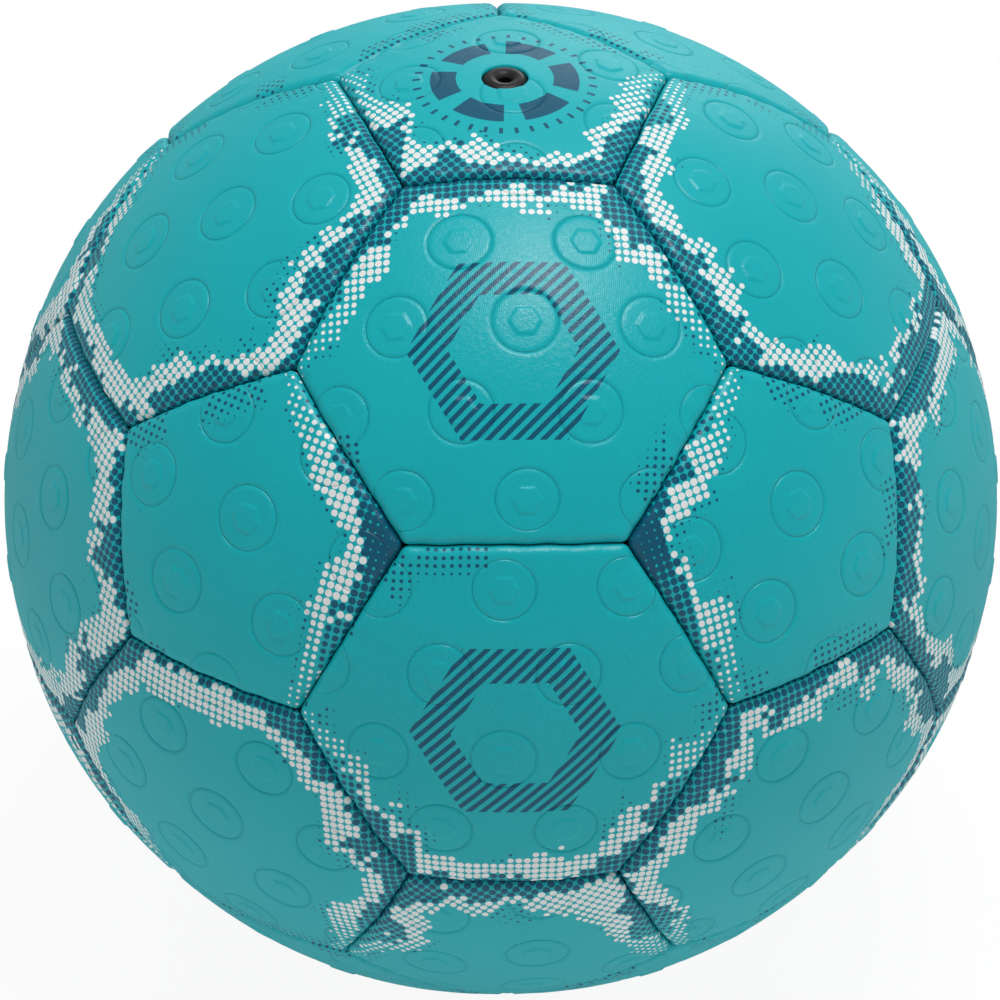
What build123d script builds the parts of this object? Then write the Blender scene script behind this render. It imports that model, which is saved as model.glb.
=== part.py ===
from build123d import *
import itertools
import math
import os

# Ball as a whole, in millimetres and degrees
ball_diameter = 175.0
pentagon_corner_angle = 19.8
corner_dip = 0.4
seam_gap = 0.3
overrun = 1.0

# Panel skin, a sheet whose edges roll over into turned-in flanges
skin_thickness = 1.2
roll_inner_radius = 1.2
corner_ease = 0.6

# Layers glued behind the skin
glue_line = 0.1
foam_thickness = 3.2
lining_thickness = 1.0

# Bladder
bladder_clearance = 0.2
bladder_wall = 1.0

# Sewing thread
thread_diameter = 0.6
stitch_clearance = 0.1
stitch_drop = 0.5
stitch_pitch = 5.0
stitch_end_margin = 4.5
thread_tail = 2.0

# Valve plug
head_diameter = 7.6
head_height = 1.9
head_clearance = 0.2
crown_drop = 0.8
needle_bore_diameter = 2.2
needle_bore_depth = 14.0
stem_diameter = 5.0
stem_reach = 19.0
stem_tip_chamfer = 0.8
bulb_diameter = 6.2
bulb_height = 2.0

# Valve boot
stem_clearance = 0.1
boot_wall = 1.0
boot_flange_diameter = 26.0
boot_flange_thickness = 1.4
boot_foot_radius = 0.8

# Radii of the concentric layers, from the crowns inward
ball_radius = ball_diameter / 2
lining_outer_radius = ball_radius - skin_thickness - foam_thickness - 2 * glue_line
lining_inner_radius = lining_outer_radius - lining_thickness
bladder_outer_radius = lining_inner_radius - bladder_clearance
bladder_inner_radius = bladder_outer_radius - bladder_wall
half_gap = seam_gap / 2
roll_radius = roll_inner_radius + skin_thickness
corner_radius = roll_radius + corner_ease
stitch_radius = ball_radius - corner_dip - roll_radius - stitch_drop
stitch_room = thread_diameter + 2 * stitch_clearance
pad_inset = half_gap + max(roll_radius, skin_thickness + stitch_room)


# Directions of the twelve pentagons and the twenty hexagons, from an icosahedron standing on a corner
def direction(azimuth, polar):
    a = math.radians(azimuth)
    p = math.radians(polar)
    return Vector(math.sin(p) * math.cos(a), math.sin(p) * math.sin(a), math.cos(p))


ring_polar = math.degrees(math.atan(2))
pentagon_turn = 360 / 5
front_azimuth = -90.0
upper_ring = [direction(front_azimuth + pentagon_turn * (k + 0.5), ring_polar) for k in range(5)]
lower_ring = [direction(front_azimuth + pentagon_turn * k, 180 - ring_polar) for k in range(5)]
pentagon_axes = [Vector(0, 0, 1), *upper_ring, *lower_ring, Vector(0, 0, -1)]


def neighbours(first, second):
    return first.dot(second) > 0


corner_pairs = [pair for pair in itertools.combinations(pentagon_axes, 2) if neighbours(*pair)]
corner_triples = [
    triple
    for triple in itertools.combinations(pentagon_axes, 3)
    if all(neighbours(*pair) for pair in itertools.combinations(triple, 2))
]


# Each side of a panel is a plane through the ball's centre: its azimuth and its angle from the panel's axis
one_hexagon = sum(corner_triples[0], Vector(0, 0, 0))
face_to_corner = one_hexagon.get_angle(corner_triples[0][0])
face_to_edge = one_hexagon.get_angle(corner_triples[0][0] + corner_triples[0][1])
half_turn = math.radians(pentagon_turn / 2)
corner_tangent = math.tan(math.radians(pentagon_corner_angle))
pentagon_side_angle = math.degrees(math.atan(corner_tangent * math.cos(half_turn)))
corner_sine = math.sin(math.radians(pentagon_corner_angle))
pentagon_seam_half = math.degrees(math.asin(corner_sine * math.sin(half_turn)))
hexagon_seam_half = ring_polar / 2 - pentagon_corner_angle

pentagon_sides = [(pentagon_turn * (k + 0.5), pentagon_side_angle, pentagon_seam_half) for k in range(5)]
hexagon_turn = 360 / 3
hexagon_sides = []
for k in range(3):
    hexagon_sides.append((hexagon_turn * k, face_to_corner - pentagon_side_angle, pentagon_seam_half))
    hexagon_sides.append((hexagon_turn * (k + 0.5), face_to_edge, hexagon_seam_half))


def side_normal(side):
    """Normal of a side's seam plane, pointing into the panel."""
    azimuth, tilt, _ = side
    return direction(azimuth + 180, 90 - tilt)


def corner_polar(sides):
    """Angle from a panel's axis to its corners."""
    corner = side_normal(sides[0]).cross(side_normal(sides[1]))
    return corner.get_angle(Vector(0, 0, 1))


def dome_offset(sides):
    """Height above the ball's centre of the centre of a panel's dome, whose corners lie below its crown."""
    corner_reach = ball_radius - corner_dip
    corner_height = corner_reach * math.cos(math.radians(corner_polar(sides)))
    return (ball_radius**2 - corner_reach**2) / (2 * (ball_radius - corner_height))


def ball(radius, height=0):
    """A ball whose poles lie sideways, clear of the panel on +Z."""
    return Pos(0, 0, height) * Rot(90, 90, 0) * Sphere(radius)


def trim_to_seams(solid, sides, inset):
    """Keeps what lies inside every seam plane of a panel, by the given inset."""
    for side in sides:
        normal = side_normal(side)
        solid = split(solid, bisect_by=Plane(origin=normal * inset, z_dir=normal), keep=Keep.TOP)
    return solid


def rounded_dome(sides, depth, floor_radius):
    """A panel's domed block with rounded corners and a rolled top edge, a depth below the skin's outside."""
    offset = dome_offset(sides)
    block = ball(ball_radius - offset - depth, offset) - ball(floor_radius)
    block = trim_to_seams(block, sides, half_gap + depth)
    block = fillet(block.edges().filter_by(GeomType.LINE), corner_radius - depth)
    crown = block.faces().sort_by(Axis.Z)[-1]
    return fillet(crown.edges(), roll_radius - depth)


def stitch_angles(seam_half):
    """Angles of the stitch holes along a seam, from its middle."""
    reach = seam_half - math.degrees(stitch_end_margin / stitch_radius)
    spaces = max(1, round(2 * math.radians(reach) * stitch_radius / stitch_pitch))
    return [-reach + 2 * reach * k / spaces for k in range(spaces + 1)]


def seam_frame(middle, normal):
    """Frame of a seam: x to its middle, z across it."""
    return Plane(origin=(0, 0, 0), x_dir=middle, z_dir=normal).location


def stitch_holes(side):
    """Holes through one flange of a panel."""
    azimuth, tilt, seam_half = side
    frame = seam_frame(direction(azimuth, tilt), side_normal(side))
    bar = Cylinder(
        thread_diameter / 2 + stitch_clearance,
        half_gap + skin_thickness + overrun,
        align=(Align.CENTER, Align.CENTER, Align.MIN),
    )
    return [frame * Rot(0, 0, angle) * Pos(stitch_radius, 0, 0) * bar for angle in stitch_angles(seam_half)]


def panel_skin(sides):
    """The leather of one panel: a dome with rolled edges, turned-in flanges and stitch holes."""
    outside = rounded_dome(sides, 0, lining_inner_radius)
    inside = rounded_dome(sides, skin_thickness, lining_inner_radius - overrun)
    holes = [hole for side in sides for hole in stitch_holes(side)]
    return (outside - inside) - holes


def foam_pad(sides):
    """The foam behind one panel's dome."""
    offset = dome_offset(sides)
    top_radius = ball_radius - offset - skin_thickness - glue_line
    pad = ball(top_radius, offset) - ball(lining_outer_radius + glue_line)
    return trim_to_seams(pad, sides, pad_inset)


def lining(sides):
    """The woven lining behind one foam pad."""
    return trim_to_seams(ball(lining_outer_radius) - ball(lining_inner_radius), sides, pad_inset)


def seam_thread(seam_half):
    """One seam's thread, a running stitch behind one flange, through both and on behind the other."""
    run_height = half_gap + skin_thickness + stitch_clearance + thread_diameter / 2
    tail_turn = math.degrees(thread_tail / stitch_radius)
    angles = stitch_angles(seam_half)
    height = run_height
    route = [direction(angles[0] - tail_turn, 90) * stitch_radius + Vector(0, 0, height)]
    for angle in angles:
        hole = direction(angle, 90) * stitch_radius
        route += [hole + Vector(0, 0, height), hole - Vector(0, 0, height)]
        height = -height
    route.append(direction(angles[-1] + tail_turn, 90) * stitch_radius + Vector(0, 0, height))
    path = FilletPolyline(route, radius=thread_diameter / 2 + 2 * stitch_clearance)
    return sweep(Plane(origin=path @ 0, z_dir=path % 0) * Circle(thread_diameter / 2), path=path)


def upright(radius, low, high):
    """A round bar on the valve's axis between two heights."""
    return Pos(0, 0, low) * Cylinder(radius, high - low, align=(Align.CENTER, Align.CENTER, Align.MIN))


# Heights and radii of the valve, which stands on the ball's axis
head_radius = head_diameter / 2
head_top = ball_radius
head_seat = head_top - head_height
stem_foot = head_seat - stem_reach
socket_radius = stem_diameter / 2 + stem_clearance
boot_radius = socket_radius + boot_wall
valve_hole_radius = max(head_radius, boot_radius) + head_clearance
boot_foot = stem_foot + bulb_height + stem_clearance


def pierced(solid):
    """The same piece with the hole that the valve passes through."""
    return solid - upright(valve_hole_radius, lining_inner_radius - overrun, ball_radius + overrun)


def bladder_shell():
    """The air-tight bladder, open where the valve boot passes through it."""
    shell = ball(bladder_outer_radius) - ball(bladder_inner_radius)
    return shell - upright(boot_radius + glue_line, bladder_inner_radius - overrun, ball_radius)


def valve_boot():
    """The boot: a dished flange bonded under the bladder wall, a neck up to the head and a socket inward."""
    flange_top = bladder_inner_radius - glue_line
    flange = ball(flange_top) - ball(flange_top - boot_flange_thickness)
    flange = flange & upright(boot_flange_diameter / 2, 0, ball_radius)
    tube = upright(boot_radius, boot_foot, head_seat)
    tube = fillet(tube.edges().group_by(Axis.Z)[0], boot_foot_radius)
    return (flange + tube) - upright(socket_radius, boot_foot - overrun, head_seat + overrun)


def valve_plug():
    """The plug: a crowned ring for a head, a stem held in the boot by a bulb, and a blind needle hole."""
    bore_radius = needle_bore_diameter / 2
    shoulder = head_top - crown_drop
    ring_middle = (bore_radius + head_radius) / 2
    mouth_edge = (bore_radius, 0, shoulder)
    outer_edge = (head_radius, 0, shoulder)
    sides = Polyline(mouth_edge, (0, 0, shoulder), (0, 0, head_seat), (head_radius, 0, head_seat), outer_edge)
    crown = ThreePointArc(outer_edge, (ring_middle, 0, head_top), mouth_edge)
    head = revolve(make_face(sides + crown), Axis.Z)
    bulb_top = stem_foot + bulb_height
    stem = upright(stem_diameter / 2, bulb_top, head_seat)
    bulb = upright(bulb_diameter / 2, stem_foot, bulb_top)
    bulb = chamfer(bulb.edges().group_by(Axis.Z)[0], stem_tip_chamfer)
    return (head + stem + bulb) - upright(bore_radius, head_top - needle_bore_depth, head_top)


def panel_frame(axis, toward):
    """Frame of a panel: z out along its axis, x towards a neighbouring pentagon."""
    return Plane(origin=(0, 0, 0), x_dir=toward - axis * axis.dot(toward), z_dir=axis).location


# Where every panel and every seam lies
pentagon_frames = [
    panel_frame(axis, next(other for other in pentagon_axes if other != axis and neighbours(axis, other)))
    for axis in pentagon_axes
]
hexagon_frames = [
    panel_frame(sum(triple, Vector(0, 0, 0)).normalized(), triple[0]) for triple in corner_triples
]
hexagon_seam_frames = [
    seam_frame((first + second).normalized(), first.cross(second).normalized())
    for first, second in corner_pairs
]
pentagon_seam_frames = [
    frame * seam_frame(direction(azimuth, tilt), side_normal((azimuth, tilt, seam_half)))
    for frame in pentagon_frames
    for azimuth, tilt, seam_half in pentagon_sides
]


def save(name, shape):
    export_step(shape, f"parts/{name}.step")


# Build each kind of piece once, then set its copies round the ball
os.makedirs("parts", exist_ok=True)
hexagon_skin = panel_skin(hexagon_sides)
pentagon_skin = panel_skin(pentagon_sides)
for number, frame in enumerate(hexagon_frames, start=1):
    save(f"hexagon_panel_{number:02d}", frame * hexagon_skin)
for number, frame in enumerate(pentagon_frames[1:], start=1):
    save(f"pentagon_panel_{number:02d}", frame * pentagon_skin)
save("valve_panel", pierced(pentagon_frames[0] * pentagon_skin))

for make_layer, name in ((foam_pad, "foam_pads"), (lining, "linings")):
    hexagon_layer = make_layer(hexagon_sides)
    pentagon_layer = make_layer(pentagon_sides)
    valve_layer = pierced(pentagon_frames[0] * pentagon_layer)
    hexagon_copies = [frame * hexagon_layer for frame in hexagon_frames]
    pentagon_copies = [frame * pentagon_layer for frame in pentagon_frames[1:]]
    save(f"hexagon_{name}", Compound(hexagon_copies))
    save(f"pentagon_{name}", Compound([valve_layer, *pentagon_copies]))

hexagon_thread = seam_thread(hexagon_seam_half)
pentagon_thread = seam_thread(pentagon_seam_half)
threads = [frame * hexagon_thread for frame in hexagon_seam_frames]
threads += [frame * pentagon_thread for frame in pentagon_seam_frames]
save("seam_thread", Compound(threads))

save("bladder", bladder_shell())
save("valve_boot", valve_boot())
save("valve_plug", valve_plug())
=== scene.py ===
import itertools
import math

import bpy
import numpy as np
from mathutils import Matrix, Vector


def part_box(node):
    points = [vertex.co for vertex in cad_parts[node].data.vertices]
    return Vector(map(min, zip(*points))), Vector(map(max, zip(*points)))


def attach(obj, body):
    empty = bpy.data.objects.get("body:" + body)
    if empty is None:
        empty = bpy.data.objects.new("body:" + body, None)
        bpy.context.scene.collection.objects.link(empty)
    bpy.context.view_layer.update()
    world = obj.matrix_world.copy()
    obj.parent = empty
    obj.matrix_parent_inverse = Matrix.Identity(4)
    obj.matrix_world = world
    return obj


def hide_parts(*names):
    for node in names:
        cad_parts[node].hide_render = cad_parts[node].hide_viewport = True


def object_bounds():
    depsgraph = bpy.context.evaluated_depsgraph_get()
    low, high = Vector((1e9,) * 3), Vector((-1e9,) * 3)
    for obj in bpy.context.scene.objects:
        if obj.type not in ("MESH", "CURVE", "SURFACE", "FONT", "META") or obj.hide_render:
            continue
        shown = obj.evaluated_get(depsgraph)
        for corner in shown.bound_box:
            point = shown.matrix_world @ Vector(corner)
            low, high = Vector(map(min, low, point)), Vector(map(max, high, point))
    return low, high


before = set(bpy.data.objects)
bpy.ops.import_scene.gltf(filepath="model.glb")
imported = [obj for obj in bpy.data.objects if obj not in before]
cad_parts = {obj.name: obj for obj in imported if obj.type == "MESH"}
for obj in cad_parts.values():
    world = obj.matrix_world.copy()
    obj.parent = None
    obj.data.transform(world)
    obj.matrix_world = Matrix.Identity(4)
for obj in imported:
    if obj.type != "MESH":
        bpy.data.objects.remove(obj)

cad_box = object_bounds()

# Bladder
# The air-tight ball inside the cover, a seamless sphere of black butyl rubber moulded and cured in one piece.
# The linings of the sewn panels press on it, and its wall carries the valve boot.
BLADDER_BLACK = (0.012, 0.012, 0.013, 1)
BLADDER_BLOOM = (0.036, 0.037, 0.038, 1)
BLADDER_ROUGHNESS = 0.55
BLADDER_PIT_DEPTH = 0.00004
BLOOM_SCALE = 160.0
BLOOM_STARTS, BLOOM_FULL = 0.35, 0.75
BLOOM_ROUGHNESS = 0.12
PIT_SCALE = 2400.0
PIT_STRENGTH = 0.4
RUBBER_SPECULAR = 0.3


def add(tree, kind, inputs=None, **settings):
    """Adds a node to a tree; inputs maps socket names or numbers to values or to other nodes' outputs."""
    made = tree.nodes.new(kind)
    for name, value in settings.items():
        setattr(made, name, value)
    for socket, value in (inputs or {}).items():
        if isinstance(value, bpy.types.NodeSocket):
            tree.links.new(value, made.inputs[socket])
        else:
            made.inputs[socket].default_value = value
    return made


def math_of(tree, operation, *values, clamp=False):
    """One Math node, given numbers or outputs, as its output."""
    made = add(tree, "ShaderNodeMath", dict(enumerate(values)), operation=operation, use_clamp=clamp)
    return made.outputs[0]


def vector_of(tree, operation, *values, output="Vector"):
    """One Vector Math node, given vectors or outputs, as the output named."""
    return add(tree, "ShaderNodeVectorMath", dict(enumerate(values)), operation=operation).outputs[output]


def step_of(tree, value, low, high):
    """A smooth step of a value from 0 at low to 1 at high."""
    places = {"Value": value, "From Min": low, "From Max": high}
    return add(tree, "ShaderNodeMapRange", places, interpolation_type="SMOOTHSTEP").outputs["Result"]


def blend_of(tree, factor, first, second):
    """A mix of two colours by a factor, as its output."""
    made = add(tree, "ShaderNodeMix", data_type="RGBA")
    for socket, value in ((made.inputs[0], factor), (made.inputs[6], first), (made.inputs[7], second)):
        if isinstance(value, bpy.types.NodeSocket):
            tree.links.new(value, socket)
        else:
            socket.default_value = value
    return made.outputs[2]


def new_group(name, inputs, outputs):
    """An empty shader node group with named sockets, with its input and output nodes."""
    group = bpy.data.node_groups.new(name, "ShaderNodeTree")
    for label, kind in inputs:
        group.interface.new_socket(label, in_out="INPUT", socket_type=kind)
    for label, kind in outputs:
        group.interface.new_socket(label, in_out="OUTPUT", socket_type=kind)
    return group, group.nodes.new("NodeGroupInput"), group.nodes.new("NodeGroupOutput")


def new_material(name):
    """A material with its node tree and its Principled shader."""
    material = bpy.data.materials.new(name)
    material.use_nodes = True
    return material, material.node_tree, material.node_tree.nodes["Principled BSDF"]


FLOAT, COLOUR, VECTOR = "NodeSocketFloat", "NodeSocketColor", "NodeSocketVector"

# Moulded rubber: a grey bloom in clouds, and a fine pitted skin
rubber_group, rubber_in, rubber_out = new_group(
    "moulded_rubber",
    [("Black", COLOUR), ("Bloom", COLOUR), ("Roughness", FLOAT)],
    [("Colour", COLOUR), ("Roughness", FLOAT), ("Height", FLOAT)],
)
where = add(rubber_group, "ShaderNodeTexCoord").outputs["Object"]
clouds = add(rubber_group, "ShaderNodeTexNoise", {"Vector": where, "Scale": BLOOM_SCALE}).outputs["Fac"]
pits = add(rubber_group, "ShaderNodeTexVoronoi", {"Vector": where, "Scale": PIT_SCALE}).outputs["Distance"]
bloom = step_of(rubber_group, clouds, BLOOM_STARTS, BLOOM_FULL)
colour = blend_of(rubber_group, bloom, rubber_in.outputs["Black"], rubber_in.outputs["Bloom"])
rough = math_of(rubber_group, "MULTIPLY_ADD", bloom, BLOOM_ROUGHNESS, rubber_in.outputs["Roughness"])
for label, source in (("Colour", colour), ("Roughness", rough), ("Height", pits)):
    rubber_group.links.new(source, rubber_out.inputs[label])


def rubber(name, black, bloom_colour, roughness, pit_depth):
    """A moulded rubber finish."""
    material, tree, shader = new_material(name)
    skin = add(tree, "ShaderNodeGroup", node_tree=rubber_group)
    skin.inputs["Black"].default_value = black
    skin.inputs["Bloom"].default_value = bloom_colour
    skin.inputs["Roughness"].default_value = roughness
    tree.links.new(skin.outputs["Colour"], shader.inputs["Base Color"])
    tree.links.new(skin.outputs["Roughness"], shader.inputs["Roughness"])
    pits = {"Height": skin.outputs["Height"], "Strength": PIT_STRENGTH, "Distance": pit_depth}
    bump = add(tree, "ShaderNodeBump", pits)
    tree.links.new(bump.outputs["Normal"], shader.inputs["Normal"])
    shader.inputs["Specular IOR Level"].default_value = RUBBER_SPECULAR
    return material


def dress(node, material):
    """Gives a carried-over node its finish."""
    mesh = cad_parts[node].data
    mesh.materials.clear()
    mesh.materials.append(material)


bladder_rubber = rubber("butyl_bladder", BLADDER_BLACK, BLADDER_BLOOM, BLADDER_ROUGHNESS, BLADDER_PIT_DEPTH)
dress("bladder", bladder_rubber)

# Valve boot
# The rubber socket of the valve, bonded by its dished flange under the bladder's wall.
# Its neck comes up through lining and foam, and its bore grips the stem of the valve plug.
BOOT_BLACK = (0.016, 0.016, 0.016, 1)
BOOT_BLOOM = (0.045, 0.044, 0.042, 1)
BOOT_ROUGHNESS = 0.6
BOOT_PIT_DEPTH = 0.00005
dress("valve_boot", rubber("butyl_boot", BOOT_BLACK, BOOT_BLOOM, BOOT_ROUGHNESS, BOOT_PIT_DEPTH))

# Linings
# One piece of woven polyester cotton behind each panel, which stops the cover from stretching.
# It is glued to the back of the foam and lies on the bladder.
LINING_WARP = (0.62, 0.60, 0.54, 1)
LINING_WEFT = (0.50, 0.48, 0.43, 1)
LINING_YARN_SCALE = 700.0
LINING_WAVER = 0.6
LINING_DEPTH = 0.0002
LINING_RELIEF = 0.6
LINING_ROUGHNESS = 0.9


def show_pattern(tree, shader, pattern, low_colour, high_colour, relief, depth):
    """Shows a pattern in a finish: from one colour to another, and in relief."""
    tree.links.new(blend_of(tree, pattern, low_colour, high_colour), shader.inputs["Base Color"])
    bump = add(tree, "ShaderNodeBump", {"Height": pattern, "Strength": relief, "Distance": depth})
    tree.links.new(bump.outputs["Normal"], shader.inputs["Normal"])


lining_cloth, tree, shader = new_material("woven_lining")
where = add(tree, "ShaderNodeTexCoord").outputs["Object"]
yarn_places = {"Vector": where, "Scale": LINING_YARN_SCALE, "Distortion": LINING_WAVER}
yarns = [add(tree, "ShaderNodeTexWave", yarn_places, bands_direction=run) for run in ("X", "Z")]
weave = math_of(tree, "MULTIPLY", *(yarn.outputs["Fac"] for yarn in yarns))
show_pattern(tree, shader, weave, LINING_WEFT, LINING_WARP, LINING_RELIEF, LINING_DEPTH)
shader.inputs["Roughness"].default_value = LINING_ROUGHNESS
for node in ("hexagon_linings", "pentagon_linings"):
    dress(node, lining_cloth)

# Foam pads
# A pad of closed-cell foam behind each panel's leather, which gives the ball its soft grip.
# The pads are cut to the panel's shape, short of the seam, and glued to leather and lining.
FOAM_PALE = (0.74, 0.72, 0.66, 1)
FOAM_CELL = (0.58, 0.56, 0.50, 1)
FOAM_CELL_SCALE = 1500.0
FOAM_CELL_DEPTH = 0.0002
FOAM_RELIEF = 0.5
FOAM_ROUGHNESS = 0.85
pad_foam, tree, shader = new_material("closed_cell_foam")
where = add(tree, "ShaderNodeTexCoord").outputs["Object"]
cell_places = {"Vector": where, "Scale": FOAM_CELL_SCALE}
cells = add(tree, "ShaderNodeTexVoronoi", cell_places).outputs["Distance"]
show_pattern(tree, shader, cells, FOAM_CELL, FOAM_PALE, FOAM_RELIEF, FOAM_CELL_DEPTH)
shader.inputs["Roughness"].default_value = FOAM_ROUGHNESS
for node in ("hexagon_foam_pads", "pentagon_foam_pads"):
    dress(node, pad_foam)

# Seam thread
# Twisted polyester thread, waxed nearly black, sewn by hand through holes in the panels' turned-in edges.
# It runs behind one edge, through both, and on behind the other, down in every seam.
THREAD_DARK = (0.010, 0.028, 0.034, 1)
THREAD_WAX = (0.055, 0.120, 0.135, 1)
FIBRE_SCALE = 3200.0
FIBRE_DETAIL = 3.0
FIBRE_DEPTH = 0.0002
FIBRE_RELIEF = 0.7
THREAD_ROUGHNESS = 0.5
waxed_thread, tree, shader = new_material("waxed_thread")
where = add(tree, "ShaderNodeTexCoord").outputs["Object"]
fibre_places = {"Vector": where, "Scale": FIBRE_SCALE, "Detail": FIBRE_DETAIL}
fibres = add(tree, "ShaderNodeTexNoise", fibre_places).outputs["Fac"]
show_pattern(tree, shader, fibres, THREAD_DARK, THREAD_WAX, FIBRE_RELIEF, FIBRE_DEPTH)
shader.inputs["Roughness"].default_value = THREAD_ROUGHNESS
dress("seam_thread", waxed_thread)

# Hexagon panels
# Twenty hexagons of soft synthetic leather, printed and embossed flat, then turned in at the edges and sewn.
# The foam behind them makes their faces full, and the seams draw their edges down into rolled shoulders.
BALL_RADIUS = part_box("valve_plug")[1].z
LINING_THICKNESS = 0.0010
FLANGE_FOOT = -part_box("pentagon_linings")[0].z - LINING_THICKNESS
PENTAGON_CORNER = math.radians(19.8)
CORNER_DIP = 0.0004
SEAM_HALF_GAP = 0.00007
SEAM_HALF_LENGTH = 0.0176
ROLL_WIDTH = 0.0018
ROLL_DEPTH = 0.0014
CORNER_ROUNDING = 0.0019
SKIN = 0.0012
HEXAGON_ROWS = 116
BACK_RATIO = 4
ROLL_ROWS = 9


def direction(azimuth, polar):
    """Unit vector at an azimuth and an angle from +Z, in radians."""
    return Vector((math.sin(polar) * math.cos(azimuth), math.sin(polar) * math.sin(azimuth), math.cos(polar)))


# The twelve pentagons look to the corners of an icosahedron that stands on a corner, under the valve
RING_POLAR = math.atan(2)
FIFTH = math.tau / 5
FRONT = -math.pi / 2
upper_ring = [direction(FRONT + FIFTH * (k + 0.5), RING_POLAR) for k in range(5)]
lower_ring = [direction(FRONT + FIFTH * k, math.pi - RING_POLAR) for k in range(5)]
pentagon_axes = [Vector((0, 0, 1)), *upper_ring, *lower_ring, Vector((0, 0, -1))]
corner_triples = [
    triple
    for triple in itertools.combinations(pentagon_axes, 3)
    if all(first.dot(second) > 0 for first, second in itertools.combinations(triple, 2))
]
hexagon_axes = [sum(triple, Vector()).normalized() for triple in corner_triples]

# A panel's sides are planes through the ball's centre: each one's azimuth and its angle from the panel's axis
some_hexagon = sum(corner_triples[0], Vector())
pentagon_tilt = math.atan(math.tan(PENTAGON_CORNER) * math.cos(FIFTH / 2))
hexagon_tilt = some_hexagon.angle(corner_triples[0][0]) - pentagon_tilt
hexagon_pair_tilt = some_hexagon.angle(corner_triples[0][0] + corner_triples[0][1])
hexagon_sides = []
for k in range(3):
    hexagon_sides.append((math.tau / 3 * k, hexagon_tilt))
    hexagon_sides.append((math.tau / 3 * (k + 0.5), hexagon_pair_tilt))
pentagon_sides = [(FIFTH * (k + 0.5), pentagon_tilt) for k in range(5)]


def panel_turn(axis, toward):
    """The three directions of a panel's own frame: x towards a neighbour, z out."""
    turn = np.array([toward - axis * axis.dot(toward), axis.cross(toward), axis], float)
    return turn / np.linalg.norm(turn, axis=1)[:, None]


def dome_lift(sides):
    """Height of a dome's centre above the ball's centre, for corners that dip below the crown."""
    (first, tilt), (second, _) = sides[:2]
    corner = math.atan(math.tan(tilt) / math.cos((second - first) / 2))
    reach = BALL_RADIUS - CORNER_DIP
    return (BALL_RADIUS**2 - reach**2) / (2 * (BALL_RADIUS - reach * math.cos(corner)))


def side_reaches(sides, inset):
    """Distances of a panel's sides from its middle in the flat chart, moved in from the seams."""
    tilts = np.array([tilt for _, tilt in sides])
    return np.tan(tilts) - inset / (BALL_RADIUS * np.cos(tilts) ** 2)


def outline(sides, inset, rounding, shares):
    """Points round a panel in its flat chart, moved in from the seams, at shares of each side's length."""
    count = len(sides)
    azimuths = np.array([azimuth for azimuth, _ in sides])
    normals = np.stack([np.cos(azimuths), np.sin(azimuths)], 1)
    reaches = side_reaches(sides, inset)
    corners = np.array([np.linalg.solve(normals[[k - 1, k]], reaches[[k - 1, k]]) for k in range(count)])
    half_turn = math.pi / count
    radius = rounding / BALL_RADIUS
    tangent = radius * math.tan(half_turn)
    rings = []
    for k in range(count):
        start, end = corners[k], corners[(k + 1) % count]
        length = np.linalg.norm(end - start)
        points = start + shares[:, None] * (end - start)
        if radius > 0:
            for corner, along, sign in ((start, shares * length, -1), (end, (1 - shares) * length, 1)):
                near = along < tangent
                middle = azimuths[k] + sign * half_turn
                inward = -np.array([math.cos(middle), math.sin(middle)])
                centre = corner + radius / math.cos(half_turn) * inward
                bearing = middle - sign * half_turn * along[near] / tangent
                points[near] = centre + radius * np.stack([np.cos(bearing), np.sin(bearing)], 1)
        rings.append(points)
    return np.array(rings)


# Sewing moves the edges: the seams wander a little, and each stitch pulls them down
WANDER = 0.00022
WANDER_SENSE = np.array([0.31, 0.77, 0.55])
WANDER_WAVES = ((310.0, 170.0, -230.0, 0.4), (-520.0, 610.0, 350.0, 1.9), (880.0, 260.0, 940.0, 4.1))
PUCKER = 0.00010
STITCH_PITCH = 0.0050
SEAM_PULL_REACH = 0.0060


def seam_wander(points):
    """A slow sideways wander of the seams, by place on the ball."""
    waves = [np.sin(points @ np.array(wave[:3]) + wave[3]) for wave in WANDER_WAVES]
    return sum(waves) / len(waves)


def sewn(points, normals, middles):
    """Moves a panel's points with the wander of its seams and the pull of the stitches."""
    moved = points.copy()
    outward = points / np.linalg.norm(points, axis=1)[:, None]
    for normal, middle in zip(normals, middles):
        distance = points @ normal
        seam_place = points - distance[:, None] * normal
        seam_place *= (BALL_RADIUS / np.linalg.norm(seam_place, axis=1))[:, None]
        along = seam_place @ np.cross(normal, middle)
        window = np.cos(np.clip(along / SEAM_HALF_LENGTH, -1, 1) * math.pi / 2)
        near = np.exp(-np.maximum(distance, 0) / SEAM_PULL_REACH)
        side = math.copysign(1, normal @ WANDER_SENSE)
        moved += (WANDER * side * seam_wander(seam_place) * window * near)[:, None] * normal
        moved -= (PUCKER * np.cos(math.tau * along / STITCH_PITCH) * near**2)[:, None] * outward
    return moved


# Embossed roundels, a ring groove round a small raised hexagon, in staggered rows
ROUNDEL_COLUMN = 0.0212
ROUNDEL_ROW = 0.0150
ROUNDEL_RADIUS = 0.0054
ROUNDEL_START = (0.0046, -0.0020)
GROOVE_WIDTH = 0.00036
GROOVE_DEPTH = 0.00017
NUB_RADIUS = 0.0020
NUB_EDGE = 0.00045
NUB_HEIGHT = 0.00022
EMBOSSING_FADE = 0.0040


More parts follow.
